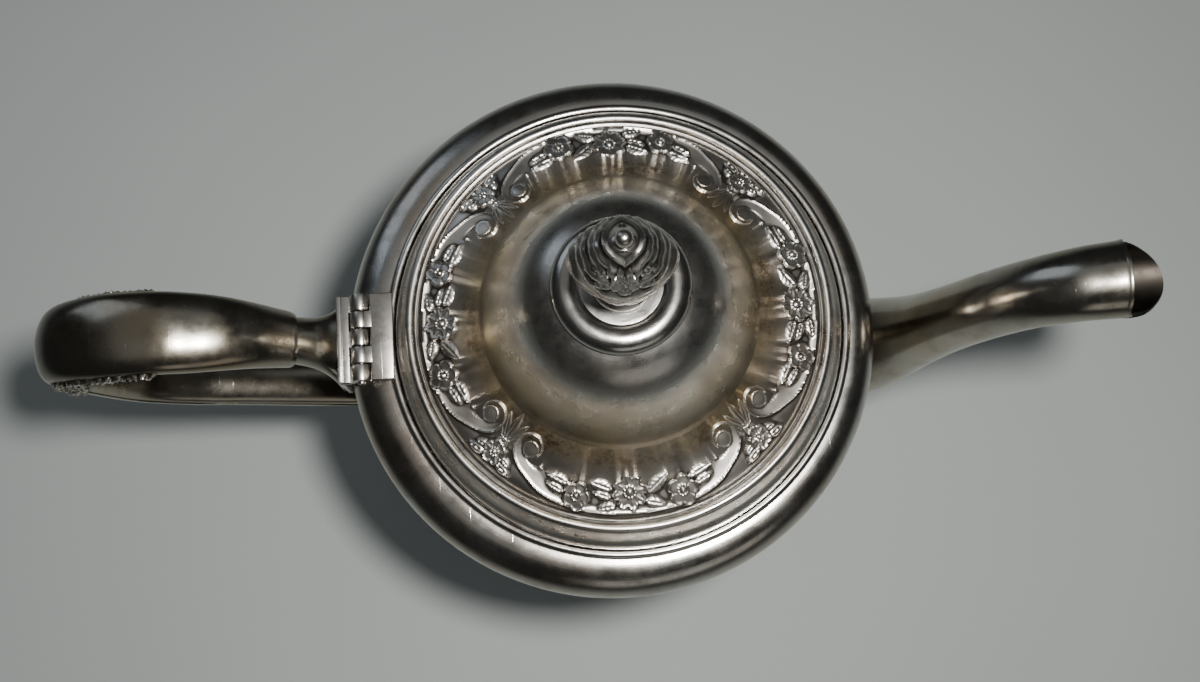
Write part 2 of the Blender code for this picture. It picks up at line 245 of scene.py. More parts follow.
def area_light(name, at, toward, width, power, colour, height=None):
    """A disk, or a rectangle if it has a height."""
    data = bpy.data.lights.new(name, 'AREA')
    data.shape = 'RECTANGLE' if height else 'DISK'
    data.size = width
    if height:
        data.size_y = height
    data.energy = power
    data.color = colour
    light = new_object(name, data)
    light.location = at
    light.rotation_euler = (Vector(at) - Vector(toward)).to_track_quat('Z', 'Y').to_euler()


def make_lights():
    world = bpy.data.worlds.new("room")
    bpy.context.scene.world = world
    world.use_nodes = True
    background = world.node_tree.nodes["Background"]
    background.inputs["Color"].default_value = ROOM_COLOUR
    background.inputs["Strength"].default_value = ROOM_STRENGTH
    for light in LIGHTS:
        area_light(*light)


def make_table(material):
    mesh = bpy.data.meshes.new("table")
    corners = [(TABLE_HALF * x, TABLE_HALF * y, FLOOR_Z) for x, y in ((-1, -1), (1, -1), (1, 1), (-1, 1))]
    mesh.from_pydata(corners, [], [(0, 1, 2, 3)])
    mesh.materials.append(material)
    new_object("table", mesh)


# ---- materials ----
LINE_STRETCH = 0.0012      # small, so that the lathe's lines are long
BODY_SILVER = (0.50, 0.485, 0.45)
PLAIN_SILVER = (0.56, 0.545, 0.515)
CHASED_SILVER = (0.62, 0.59, 0.545)
CAST_SILVER = (0.56, 0.54, 0.51)
SPOUT_SILVER = (0.41, 0.385, 0.335)
# the handle's silver is darker than the rest: partly real tarnish, partly painted shade
HANDLE_SILVER_TARNISH_AND_SHADE = (0.33, 0.31, 0.265)
HINGE_SILVER = (0.52, 0.50, 0.47)
PIN_STEEL = (0.34, 0.33, 0.31)
NUT_STEEL = (0.42, 0.41, 0.40)
BROWN = (0.20, 0.125, 0.055)
# amber painted on the lid's cove as the golden reflection of the flower band
REFLECTED_AMBER = (0.66, 0.53, 0.33)
COPPER = (0.36, 0.25, 0.165)
GOLDEN = (0.30, 0.22, 0.13)
PATINA = (0.030, 0.026, 0.022)
GREY_TARNISH = (0.23, 0.215, 0.19)
# lighter metal for the relief's crests: partly rubbed silver, partly a painted highlight
RUBBED_AND_HIGHLIGHT = (0.66, 0.64, 0.60)
SPECK = (0.07, 0.055, 0.04)
RUST = (0.13, 0.065, 0.03)
TABLE_ROUGHNESS = 0.62
TABLE_GREYS = ((0.44, 0.475, 0.462), (0.485, 0.515, 0.50))
# where the painted golden reflection of the flower band lies on the lid's cove
GOLDEN_REFLECTION_RING = (0.0235, 0.0310, 0.0345, 0.0385)     # radii in metres: fades in, full, full, faded out
STAINED_RING = (0.0305, 0.0345, 0.0362, 0.0385)
GROOVE_R = 0.0481          # the groove outside the flower band, in metres from the lid's axis


def attach(tree, kind, sockets, **settings):
    """Add a node, set it up, and link or set its inputs."""
    item = tree.nodes.new(kind)
    for key, value in settings.items():
        setattr(item, key, value)
    for key, value in sockets.items():
        if isinstance(value, bpy.types.NodeSocket):
            tree.links.new(value, item.inputs[key])
        else:
            item.inputs[key].default_value = value
    return item


def calc(tree, operation, a, b=0.0, clamp=False):
    return attach(tree, 'ShaderNodeMath', {0: a, 1: b}, operation=operation, use_clamp=clamp).outputs[0]


def times(tree, a, b):
    return calc(tree, 'MULTIPLY', a, b)


def noise(tree, place, scale, detail=4.0, roughness=0.55, distortion=0.0):
    sockets = {"Vector": place, "Scale": scale, "Detail": detail, "Roughness": roughness,
               "Distortion": distortion}
    return attach(tree, 'ShaderNodeTexNoise', sockets).outputs[0]


def spread(tree, value, low, high, to_low=0.0, to_high=1.0):
    """Stretch the part of a value between low and high over a new range."""
    sockets = {"Value": value, "From Min": low, "From Max": high, "To Min": to_low, "To Max": to_high}
    return attach(tree, 'ShaderNodeMapRange', sockets).outputs[0]


def blend_colours(tree, factor, a, b):
    sockets = {0: factor, 6: a if isinstance(a, bpy.types.NodeSocket) else (*a, 1.0),
               7: b if isinstance(b, bpy.types.NodeSocket) else (*b, 1.0)}
    return attach(tree, 'ShaderNodeMix', sockets, data_type='RGBA').outputs[2]


def bump(tree, height, distance, normal=None):
    sockets = {"Height": height, "Distance": distance, "Strength": 1.0}
    if normal is not None:
        sockets["Normal"] = normal
    return attach(tree, 'ShaderNodeBump', sockets).outputs[0]


def new_material(name, metallic):
    """A material, its node tree, and the object coordinates in it."""
    material = bpy.data.materials.new(name)
    material.use_nodes = True
    tree = material.node_tree
    tree.nodes["Principled BSDF"].inputs["Metallic"].default_value = metallic
    return material, tree, attach(tree, 'ShaderNodeTexCoord', {}).outputs["Object"]


def surface(tree, colour, rough, normal):
    """Link a tree's results to its shader."""
    inputs = tree.nodes["Principled BSDF"].inputs
    tree.links.new(colour, inputs["Base Color"])
    if isinstance(rough, bpy.types.NodeSocket):
        tree.links.new(rough, inputs["Roughness"])
    else:
        inputs["Roughness"].default_value = rough
    tree.links.new(normal, inputs["Normal"])


def lathe_place(tree, place):
    """Coordinates that run round the lid's axis, so that noise becomes fine circular lines."""
    parts = attach(tree, 'ShaderNodeSeparateXYZ', {0: place})
    x = calc(tree, 'SUBTRACT', parts.outputs[0], LID_X)
    y = parts.outputs[1]
    radius = calc(tree, 'SQRT', calc(tree, 'ADD', times(tree, x, x), times(tree, y, y)))
    angle = times(tree, calc(tree, 'ARCTAN2', y, x), LINE_STRETCH)
    rolled = attach(tree, 'ShaderNodeCombineXYZ', {0: radius, 1: angle, 2: parts.outputs[2]})
    return rolled.outputs[0], radius


def ring_mask(tree, radius, limits):
    """1 in a ring round the lid's axis, fading to 0 on either side."""
    start, full, still_full, end = limits
    rise = spread(tree, radius, start, full)
    return times(tree, rise, spread(tree, radius, still_full, end, 1.0, 0.0))


def cove_stain_and_reflection(tree, place, radius, cloud, colour, dull):
    """The painted golden reflection of the flower band on the lid's cove, the brown speckled stain next to
    it, and dirt in the groove.
    """
    # painted reflection: the flower band's golden reflection in the cove, blended in as amber
    painted_reflection = times(tree, ring_mask(tree, radius, GOLDEN_REFLECTION_RING), spread(tree, cloud, 0.35, 0.55, 0.35, 0.9))
    speckle = spread(tree, noise(tree, place, 620.0, 6.0, 0.8), 0.44, 0.58, 0.15, 1.0)
    patches = spread(tree, noise(tree, place, 48.0, 3.0), 0.36, 0.58)
    stain = times(tree, ring_mask(tree, radius, STAINED_RING), times(tree, speckle, patches))
    colour = blend_colours(tree, painted_reflection, colour, REFLECTED_AMBER)
    colour = blend_colours(tree, stain, colour, BROWN)
    from_groove = calc(tree, 'ABSOLUTE', calc(tree, 'SUBTRACT', radius, GROOVE_R))
    colour = blend_colours(tree, spread(tree, from_groove, 0.0003, 0.0010, 0.8, 0.0), colour, PATINA)
    return colour, calc(tree, 'ADD', dull, times(tree, stain, 0.16))


def patinated(tree, mottle, amount, colour, dull):
    """Dark patina in the ornament's crevices, and lighter metal on its crests that is partly real rubbing
    and partly a painted highlight.
    """
    exposed = attach(tree, 'ShaderNodeAttribute', {}, attribute_name="relief").outputs["Fac"]
    ragged = calc(tree, 'ADD', exposed, spread(tree, mottle, 0.3, 0.7, -0.06, 0.06))
    recess = spread(tree, ragged, 0.24, 0.47, 1.0, 0.0)
    # crests lightened: partly rubbed metal, partly a painted highlight
    rubbed_and_highlit = spread(tree, ragged, 0.56, 0.82)
    colour = blend_colours(tree, times(tree, recess, amount), colour, PATINA)
    colour = blend_colours(tree, times(tree, rubbed_and_highlit, 0.6), colour, RUBBED_AND_HIGHLIGHT)
    return colour, calc(tree, 'ADD', dull, times(tree, recess, 0.20))


def silver(name, colour, tarnish, rough, spun=True, cove=False, patina=0.0, stain=COPPER):
    """Old silver: cloudy tarnish, fine scratches and specks.

    `spun` adds the lathe's lines and `cove` the lid's stains and its painted golden reflection. A
    piece whose silver has a patina needs the "relief" attribute.
    """
    material, tree, place = new_material(name, 1.0)
    round_place, radius = lathe_place(tree, place)
    cloud = noise(tree, place, 34.0, 7.0, 0.62, 0.3)
    mottle = noise(tree, place, 150.0, 8.0, 0.70)
    grain = noise(tree, place, 1900.0, 3.0, 0.6)
    cloudy = spread(tree, cloud, 0.42, 0.66, 0.0, 0.75 * tarnish)
    mottled = spread(tree, mottle, 0.50, 0.72, 0.0, 0.85 * tarnish)
    colour = blend_colours(tree, mottled, blend_colours(tree, cloudy, colour, stain), GREY_TARNISH)
    dull = spread(tree, mottle, 0.35, 0.75, *rough)
    if cove:
        colour, dull = cove_stain_and_reflection(tree, place, radius, cloud, colour, dull)
    if patina:
        colour, dull = patinated(tree, mottle, patina, colour, dull)
    specks = spread(tree, grain, 0.70, 0.76)
    colour = blend_colours(tree, times(tree, specks, 0.8), colour, SPECK)
    dull = calc(tree, 'ADD', dull, times(tree, specks, 0.25), clamp=True)

    stretched = {0: place, "Rotation": (0.3, 0.5, 0.7), "Scale": (40.0, 1.0, 12.0)}
    crossed = attach(tree, 'ShaderNodeMapping', stretched).outputs[0]
    hairlines = spread(tree, noise(tree, crossed, 46.0, 2.0), 0.69, 0.73)
    normal = bump(tree, noise(tree, place, 95.0, 3.0, 0.4), 0.00010)
    if spun:
        normal = bump(tree, noise(tree, round_place, 2300.0, 3.0, 0.7), 0.000022, normal)
    normal = bump(tree, hairlines, 0.000008, normal)
    surface(tree, colour, dull, bump(tree, grain, 0.000008, normal))
    return material


def steel(name, colour):
    """Plain turned steel, a little rusty."""
    material, tree, place = new_material(name, 1.0)
    round_place, _ = lathe_place(tree, place)
    rust = spread(tree, noise(tree, place, 420.0, 6.0, 0.7), 0.52, 0.70)
    lines = bump(tree, noise(tree, round_place, 3000.0, 2.0), 0.00002)
    surface(tree, blend_colours(tree, rust, colour, RUST), spread(tree, rust, 0.0, 1.0, 0.32, 0.75),
            bump(tree, rust, 0.00005, lines))
    return material


def table_material():
    """A pale matt surface with the faintest mottling."""
    material, tree, place = new_material("table", 0.0)
    colour = blend_colours(tree, noise(tree, place, 7.0, 4.0), *TABLE_GREYS)
    surface(tree, colour, TABLE_ROUGHNESS, bump(tree, noise(tree, place, 900.0, 3.0), 0.00004))
    return material


def build_materials():
    body_rough = (0.17, 0.33)
    return {
        "body": silver("old_silver_body", BODY_SILVER, 0.65, body_rough),
        "vessel": silver("old_silver_vessel", BODY_SILVER, 0.65, body_rough, patina=0.8),
        "lid": silver("old_silver_lid", PLAIN_SILVER, 0.50, (0.24, 0.40), cove=True),
        "chased": silver("old_silver_chased", CHASED_SILVER, 0.45, (0.29, 0.43), False, True, 0.95),
        "trim": silver("old_silver_trim", PLAIN_SILVER, 0.40, (0.16, 0.30)),
        "spout": silver("old_silver_spout", SPOUT_SILVER, 0.9, (0.15, 0.30), False, False, 0.98, GOLDEN),
        "cast": silver("old_silver_cast", CAST_SILVER, 0.4, (0.22, 0.36), False, False, 0.95),
        # the handle's darker colour is partly tarnish and partly painted shade
        "handle": silver("old_silver_handle_tarnish_and_shade", HANDLE_SILVER_TARNISH_AND_SHADE, 0.9, (0.17, 0.32), False, False, 0.9, GOLDEN),
        "hinge": silver("old_silver_hinge", HINGE_SILVER, 0.5, (0.22, 0.38), False),
        "pin": steel("pin_steel", PIN_STEEL),
        "steel": steel("turned_steel", NUT_STEEL),
    }


# ---- the flower band ----
BAND_IN = 31.8
BAND_OUT = 47.9
ORNAMENT_SCALE = 0.9705    # the ornament's drawing, below, is this much larger than the real one


def flower(x, y, radius, petals, turn=0.0, ribs=True, beads=11):
    """Height of a flower, from 0 to 1, for points given from its centre. Negative outside it."""
    rho = np.hypot(x, y) / radius
    theta = np.arctan2(y, x) + turn
    lobe = np.abs(np.cos(petals * theta / 2))
    edge = 0.74 + 0.26 * lobe ** 0.55
    inside = edge - rho
    petal = smoothstep(0.0, 0.11, inside)
    rim = ridge((inside - 0.10) / 0.075)
    between = 1 - smoothstep(0.0, 0.30, lobe)
    rim = 0.34 * rim * smoothstep(0.25, 0.6, rho)
    height = petal * (0.50 + rim - 0.30 * between * smoothstep(0.2, 0.45, rho))
    if ribs:
        height += petal * 0.13 * smoothstep(0.93, 0.995, lobe) * smoothstep(0.3, 0.5, rho)
    centre = 1 - smoothstep(0.30, 0.40, rho)
    height = height * (1 - centre) + 0.38 * centre
    step = 2 * np.pi / beads
    along = (np.mod(theta, step) - step / 2) * 0.30
    bead = dome(np.hypot(rho - 0.30, along) / 0.08246)
    knob = dome(rho / 0.17)
    height = np.maximum(height, 0.42 + 0.46 * bead)
    height = np.where(knob > 0, np.maximum(height, 0.38 + 0.55 * knob), height)
    return np.where(inside > 0, height, -1.0)


def leaf(x, y, start, end, width, veins=True):
    """Height of a pointed leaf from one point to another. Negative outside it."""
    start = np.array(start, dtype=float)
    end = np.array(end, dtype=float)
    length = np.linalg.norm(end - start)
    direction = (end - start) / length
    along = ((x - start[0]) * direction[0] + (y - start[1]) * direction[1]) / length
    side = -(x - start[0]) * direction[1] + (y - start[1]) * direction[0]
    inside_run = (along > 0) & (along < 1)
    along = np.clip(along, 0.001, 0.999)
    half = width / 2 * (np.sin(np.pi * along ** 0.75)) ** 0.8 + 1e-4
    across = np.abs(side) / half
    height = 0.34 + 0.48 * np.clip(1 - across ** 2.4, 0, 1)
    height -= 0.34 * ridge(side / 0.13) * smoothstep(0.02, 0.15, along)
    if veins:
        height += 0.05 * np.sin(along * length * 5.2 + np.abs(side) * 5.0) * smoothstep(0.1, 0.5, across)
    return np.where(inside_run & (across < 1), height, -1.0)


def nearest(path, x, y):
    """For each point: its distance to a path, the side it is on, and how far along the path it is."""
    best = np.full(x.shape, 1e9)
    side = np.zeros(x.shape)
    where = np.zeros(x.shape)
    for i, (p, q) in enumerate(zip(path[:-1], path[1:])):
        d = q - p
        t = np.clip(((x - p[0]) * d[0] + (y - p[1]) * d[1]) / (d @ d), 0, 1)
        ex = x - p[0] - t * d[0]
        ey = y - p[1] - t * d[1]
        distance = np.hypot(ex, ey)
        closer = distance < best
        best = np.where(closer, distance, best)
        side = np.where(closer, d[0] * ey - d[1] * ex, side)
        where = np.where(closer, (i + t) / (len(path) - 1), where)
    return best, np.sign(side), where


EYE_R = 2.05
SWING = [(0, 47.9), (7, 47.95), (14, 47.9), (21, 47.65), (27.5, 46.9), (33, 45.2)]     # degrees, radius
VOLUTE_REACHES = (4.6, 4.15, 4.0, 3.9, 3.75, 3.5, 3.1, 2.7, 2.3)
BAND_WIDTHS = [(0.0, 1.0), (0.18, 1.4), (0.30, 2.8), (0.40, 4.2), (0.50, 4.4), (0.64, 2.6), (0.85, 1.4),
               (1.0, 0.5)]  # share of the way along the scroll, width


def swung(degrees, radius):
    """A point at an angle from the middle of the garland."""
    return (radius * math.sin(math.radians(degrees)), radius * math.cos(math.radians(degrees)))


VOLUTE_EYE = swung(35.6, 39.3)


def scroll_path():
    """The outer ridge of one half of a C-scroll, from the group's middle round into its volute.

    Points are tangential and radial distances from the lid's axis.
    """
    points = [swung(degrees, radius) for degrees, radius in SWING]
    for step, reach in enumerate(VOLUTE_REACHES):
        a = math.radians(38 - 34 * step)
        points.append((VOLUTE_EYE[0] + reach * math.cos(a), VOLUTE_EYE[1] + reach * math.sin(a)))
    return through(points, 6)


def scroll(x, y):
    """Height of one C-scroll half: a ridge, and the smooth hollow band that falls away inside it."""
    distance, side, where = nearest(scroll_path(), x, y)
    width = np.interp(where, *np.transpose(BAND_WIDTHS))
    inner = side < 0
    band = 0.72 * np.clip(1 - distance / width, 0, 1) ** 1.25
    edge = 0.30 * ridge(distance / 0.26)
    outer = 0.80 * (1 - smoothstep(0.0, 0.55, distance))
    height = np.where(inner, band + edge + 0.06, np.maximum(outer, edge))
    from_eye = np.hypot(x - VOLUTE_EYE[0], y - VOLUTE_EYE[1])
    eye = 0.50 + 0.35 * dome(from_eye / EYE_R) + 0.16 * ridge((from_eye - EYE_R + 0.15) / 0.22)
    return np.where(from_eye < EYE_R, eye, height)


GARLAND_FLOWERS = [((0.0, 43.2), 4.4, 8, 0.2, True), ((12.7, 43.3), 3.85, 5, 0.3, False),
                   ((-12.8, 43.3), 3.5, 5, 0.95, False)]     # centre, radius, petals, turn, ribs
GARLAND_LEAVES = [((4.4, 43.4), (9.2, 38.9), 3.5), ((3.6, 45.4), (8.9, 46.5), 2.8),
                  ((14.0, 40.2), (20.0, 37.2), 2.7), ((15.7, 41.9), (20.2, 39.2), 2.6),
                  ((-4.2, 42.4), (-9.6, 40.1), 3.3), ((-4.6, 44.3), (-9.0, 42.6), 2.3),
                  ((-3.4, 46.2), (-8.2, 46.7), 2.7),
                  ((-14.2, 40.4), (-19.8, 37.4), 2.7), ((-15.8, 42.2), (-20.0, 39.4), 2.4)]
GARLAND_BUD = (20.9, 36.3, 0.62)
DIVIDER_LEAVES = [((2.0, 46.6), (6.6, 47.0), 2.3), ((2.4, 44.9), (5.4, 45.5), 2.0),
                  ((0.0, 40.6), (0.0, 33.9), 2.8), ((0.5, 40.4), (2.9, 34.9), 2.1),
                  ((0.8, 40.9), (3.1, 37.4), 1.5), ((0.5, 40.9), (1.6, 43.0), 1.3)]
DIVIDER_FLOWER_Y = 44.9
DIVIDER_FLOWER_R = 3.1
KNOT_Y = 41.0


def ornament(x, y):
    """Height in millimetres of the chased ornament over one quarter; its middle is at x = 0."""
    height = np.maximum(scroll(x, y), scroll(-x, y))
    for (centre_x, centre_y), radius, petals, turn, ribs in GARLAND_FLOWERS:
        blossom = flower(x - centre_x, y - centre_y, radius, petals, turn, ribs)
        height = np.where(blossom >= 0, np.maximum(0.25 + 0.95 * blossom, height * 0.3), height)
    for start, end, width in GARLAND_LEAVES:
        height = np.maximum(height, 1.05 * leaf(x, y, start, end, width))
    bud_x, bud_y, bud_r = GARLAND_BUD
    for side in (-1, 1):
        height = np.maximum(height, 0.8 * dome(np.hypot(x - side * bud_x, y - bud_y) / bud_r))
        turn = side * math.pi / 4
        dx = x * math.cos(turn) - y * math.sin(turn)
        dy = x * math.sin(turn) + y * math.cos(turn)
        blossom = flower(dx, dy - DIVIDER_FLOWER_Y, DIVIDER_FLOWER_R, 5, 0.5, True, 9)
        height = np.where(blossom >= 0, 0.15 + 0.95 * blossom, height)
        for start, end, width in DIVIDER_LEAVES:
            for mirror in (-1, 1):
                height = np.maximum(height, leaf(dx * mirror, dy, start, end, width, veins=False))
        height = np.maximum(height, 0.75 * dome(np.hypot(dx / 0.75, (dy - KNOT_Y) / 0.5)))
    return np.maximum(height, 0.0)


LID_RUN = [(2.6, 45.0), (9.0, 44.9), (12.5, 44.5), (15.4, 43.4), (18.2, 41.8), (20.9, 39.4), (23.1, 36.4),
           (24.7, 33.2), (26.2, 29.6), (28.2, 25.6), (30.6, 21.9), (33.2, 19.0), (36.2, 16.6), (39.4, 14.8),
           (42.6, 13.4), (45.6, 12.0), (47.2, 10.9), (48.1, 9.7), (48.9, 9.8)]
LID_EDGE = joined(arc((50.2, 9.4), (1.3, 1.5), 160, 0, 14),
                  through([(51.8, 8.4), (52.3, 6.6), (53.0, 4.9), (54.1, 3.4), (54.5, 2.5)], 5))
LID_WALL = 1.0
BAND_ROWS = 70
BAND_COLUMNS = 340         # in one quarter
BAND_THICKNESS = 0.3
RELIEF_HEIGHT = 1.0
BAND_SEAT = 0.4            # how far the lid's sheet is set back under the band


def lid_run():
    return through(LID_RUN, 10)


def profile_at(radii):
    """Height and slope of the lid's outline at each radius."""
    run = lid_run()
    z = np.interp(radii, run[:, 0], run[:, 1])
    slope = np.interp(radii, run[:, 0], np.gradient(run[:, 1], run[:, 0]))
    return z, slope


def flower_band(material):
    """The ornamented zone of the lid, where the chasing is real geometry."""
    radii = np.linspace(BAND_IN, BAND_OUT, BAND_ROWS)
    angles = (np.arange(BAND_COLUMNS) / BAND_COLUMNS - 0.5) * math.pi / 2
    angle, radius = np.meshgrid(angles, radii)
    height = ornament(radius * np.sin(angle) / ORNAMENT_SCALE, radius * np.cos(angle) / ORNAMENT_SCALE)
    height *= RELIEF_HEIGHT * plateau(BAND_IN, BAND_IN + 0.8, BAND_OUT - 0.9, BAND_OUT - 0.2, radius)
    z, slope = profile_at(radius)
    lean = 1 / np.sqrt(1 + slope ** 2)
    out_r = radius - height * slope * lean
    out_z = z + height * lean
    quarters = []
    for quarter in range(4):
        turn = quarter * math.pi / 2
        quarters.append(np.stack([out_r * np.cos(angle + turn), out_r * np.sin(angle + turn), out_z], -1))
    points = np.concatenate(quarters, axis=1)
    back = points[[-1, 0]] - np.array([0.0, 0.0, BAND_THICKNESS])
    exposed = np.concatenate([wear(height)] * 4, axis=1)
    exposed = np.vstack([exposed, exposed[[-1, 0]]])
    mesh = mesh_from_grid("lid_flower_band", np.vstack([points, back]), wrap_rows=True, relief=exposed)
    add_piece("lid_flower_band", mesh, "lid", material, 60.0)


def lid_cover(material):
    """The whole lid in one sheet, set back under the flower band."""
    run = lid_run()
    inside = run[run[:, 0] < BAND_IN - 0.1]
    outside = run[run[:, 0] > BAND_OUT + 0.1]
    (z_in, z_out), _ = profile_at(np.array([BAND_IN, BAND_OUT]))
    band = run[(run[:, 0] > BAND_IN + 0.3) & (run[:, 0] < BAND_OUT - 0.3)] - np.array([0.0, BAND_SEAT])
    top = np.vstack([inside, [[BAND_IN, z_in]], [[BAND_IN, z_in - BAND_SEAT]], band,
                     [[BAND_OUT, z_out - BAND_SEAT]], [[BAND_OUT, z_out]], outside, LID_EDGE])
    under = offset_outline(np.vstack([run[::3], LID_EDGE[::2]]), LID_WALL)[::-1]
    mesh = mesh_from_grid("lid_cover", turned(np.vstack([top, under]), AROUND), wrap_rows=True)
    add_piece("lid_cover", mesh, "lid", material, replaces="lid_shell")


# ---- turned pieces ----
WIRE = joined([(54.85, 1.2)], arc((55.9, 1.25), (1.1, 1.05), 160, -15, 14), [(57.0, 0.3), (54.85, 0.3)])
BEZEL = [(53.0, 1.1), (54.6, 1.1), (54.7, 0.9), (54.7, 0.35), (51.5, 0.3), (51.2, 0.0), (51.2, -5.8),
         (51.0, -6.0), (50.4, -6.0), (50.2, -5.8), (50.2, 1.1)]
CUSHION = joined([(2.6, 46.0), (7.4, 45.9), (8.4, 45.95)], arc((11.9, 43.9), (3.6, 3.1), 140, 0, 24),
                 [(15.4, 43.3), (2.6, 45.1)])
SHEET = 1.2                # the body's wall
COLLAR = [(54.5, 0.0), (54.5, -SHEET), (53.6, -1.3), (53.4, -1.5), (53.4, -8.8), (53.2, -9.0), (52.6, -9.0),
          (52.4, -8.8), (52.4, -0.3), (52.7, 0.0)]
SEAM_R = 57.0
MOUTH_R = 54.8
ROLL_R = 57.6              # where the shoulder's roll begins
ROLL_DROP = 8.0
SKIRT_Z = -10.15
SHOULDER_R = (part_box("shoulder_ring")[1].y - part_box("shoulder_ring")[0].y) / MM / 2


def ring(name, outline, body, material, replaces, segments=AROUND, centre=0.0, sharp=35.0):
    mesh = mesh_from_grid(name, turned(outline, segments, centre, closed=True))
    add_piece(name, mesh, body, material, sharp, replaces)


def lid_rings(material):
    ring("lid_rim", WIRE, "lid", material, "lid_rim_wire")
    ring("bezel", BEZEL, "lid", material, "lid_bezel")
    ring("cushion", CUSHION, "lid", material, "lid_cushion")


def mouth(material):
    """The collar inside the mouth, which the lid's bezel drops into."""
    ring("mouth", COLLAR, "pot", material, "mouth_collar")


def shoulder(material):
    """The rounded shoulder. Its mouth is round the lid's axis, and its outside round the body's."""
    outer = arc((ROLL_R, -ROLL_DROP), (SHOULDER_R - ROLL_R, ROLL_DROP), 90, 0, 28)
    inner = arc((ROLL_R, -ROLL_DROP), (SHOULDER_R - SHEET - ROLL_R, ROLL_DROP - SHEET), 0, 90, 12)
    skirt = [(SHOULDER_R, SKIRT_Z), (SHOULDER_R - SHEET, SKIRT_Z)]
    outline = joined([(MOUTH_R, 0.0)], outer, skirt, inner, [(MOUTH_R, -SHEET)])
    inward = np.clip((SHOULDER_R - outline[:, 0]) / (SHOULDER_R - SEAM_R), 0, 1)
    centre = BODY_SHIFT * (1 - inward)
    ring("shoulder", outline, "pot", material, "shoulder_ring",
         centre=np.append(centre, centre[0]))


# ---- lofts ----
def loft(stations, per_span, section):
    """Sections of (across, up) pairs, from -1 to 1, carried along stations.

    A station is its under edge (x, z), its outer edge (x, z) and its width across.
    """
    rows = through(stations, per_span)
    middle = (rows[:, 0:2] + rows[:, 2:4]) / 2
    half = (rows[:, 2:4] - rows[:, 0:2]) / 2
    across, up = np.array(section, dtype=float).T
    x = middle[:, :1] + half[:, :1] * up
    y = rows[:, 4:5] / 2 * across
    z = middle[:, 1:2] + half[:, 1:2] * up
    return np.stack([x, y, z], -1)


def normals_of(points):
    """Outward normals of a grid that is wrapped round its columns."""
    along = np.gradient(points, axis=0)
    wrapped = np.concatenate([points[:, -1:], points, points[:, :1]], axis=1)
    around = (wrapped[:, 2:] - wrapped[:, :-2]) / 2
    normal = np.cross(around, along)
    normal /= np.linalg.norm(normal, axis=-1, keepdims=True) + 1e-12
    centre = points.mean(axis=1, keepdims=True)
    outward = np.sign(((points - centre) * normal).sum(axis=-1).mean())
    return normal * outward


PLAIN = 0.5                # how exposed a plain surface is, on the scale of wear()
SHADED_INSIDE = 0.20             # and the inside of the body and spout, darkened as painted shade


def wear(height, passes=14):
    """How exposed each point of a relief is: 0 in crevices, 0.5 on open ground, 1 on crests."""
    soft = height.copy()
    for _ in range(passes):
        soft = (np.roll(soft, 1, axis=1) + soft + np.roll(soft, -1, axis=1)) / 3
        padded = np.vstack([soft[:1], soft, soft[-1:]])
        soft = (padded[:-2] + padded[1:-1] + padded[2:]) / 3
    return np.clip(0.5 + (height - soft) / 0.6, 0.0, 1.0)


def travelled(points):
    """Distance covered along each column of a grid, and round each row from its first column."""
    along = np.zeros(points.shape[:2])
    along[1:] = np.cumsum(np.linalg.norm(np.diff(points.mean(axis=1), axis=0), axis=1))[:, None]
    steps = np.linalg.norm(np.diff(points, axis=1), axis=-1)
    around = np.hstack([np.zeros((len(points), 1)), np.cumsum(steps, axis=1)])
    return along, around


# ---- body and foot ----
BODY_TOP = TABLE + 154.7
BODY_FLOOR = TABLE + 41
BODY_SIDE = [(65.7, BODY_TOP), (65.1, TABLE + 140), (62.2, TABLE + 120), (56.4, TABLE + 101),
             (47.0, TABLE + 83), (36.0, TABLE + 67), (28.0, TABLE + 54), (24.5, TABLE + 41.5)]
STRAINER_Z = TABLE + 92.0
HOLE_R = 2.0
HOLE_PITCH = 7.0
HOLE_SIDES = 24
DRILL_ENDS = (30.0, 80.0)  # from the lid's axis


def body(material):
    """The bellied body, with the strainer's holes where the spout is soldered on."""
    outside = joined(through(BODY_SIDE, 12), [(23.6, BODY_FLOOR), (0.0, BODY_FLOOR)])
    inside = joined([(0.0, BODY_FLOOR + SHEET)], offset_outline(through(BODY_SIDE, 6), SHEET)[::-1])
    points = turned(np.vstack([outside, inside]), AROUND, BODY_SHIFT)
    # the body's inside is darkened as painted shade
    exposed = np.repeat([PLAIN, SHADED_INSIDE], [len(outside), len(inside)])
    exposed = np.repeat(exposed[:, None], AROUND, axis=1)
    mesh = mesh_from_grid("body", points, wrap_rows=True, relief=exposed)
    obj = add_piece("body", mesh, "pot", material, 40.0, "body_shell")
    drills = []
    for y, z in joined([(0.0, 0.0)], HOLE_PITCH * circle(6)):
        rim = (y, z + STRAINER_Z) + HOLE_R * circle(HOLE_SIDES)
        ends = [np.column_stack([np.full(HOLE_SIDES, x), rim]) for x in DRILL_ENDS]
        drills.append(mesh_from_grid("drill", np.stack(ends), caps=True))
    cutter = new_object("drills", together("drills", drills))
    drill = obj.modifiers.new("Strainer", 'BOOLEAN')
    drill.operation = 'DIFFERENCE'
    drill.object = cutter
    bpy.context.view_layer.update()
    drilled = bpy.data.meshes.new_from_object(obj.evaluated_get(bpy.context.evaluated_depsgraph_get()))
    obj.modifiers.clear()
    obj.data = drilled
    bpy.data.objects.remove(cutter)


def reeds(start, end, count, depth):
    """A stretch of outline from start to end, raised into small rounded reeds."""
    t = np.linspace(0, 1, count * 8 + 1)
    line = start + (end - start) * t[:, None]
    across = np.array([-(end - start)[1], (end - start)[0]]) / np.linalg.norm(end - start)
    return line + across * (depth * np.abs(np.sin(np.pi * count * t)))[:, None]


def standing(*runs):
    """Runs of outline, with heights measured from the table, as one outline."""
    return joined(*runs) + (0.0, TABLE)


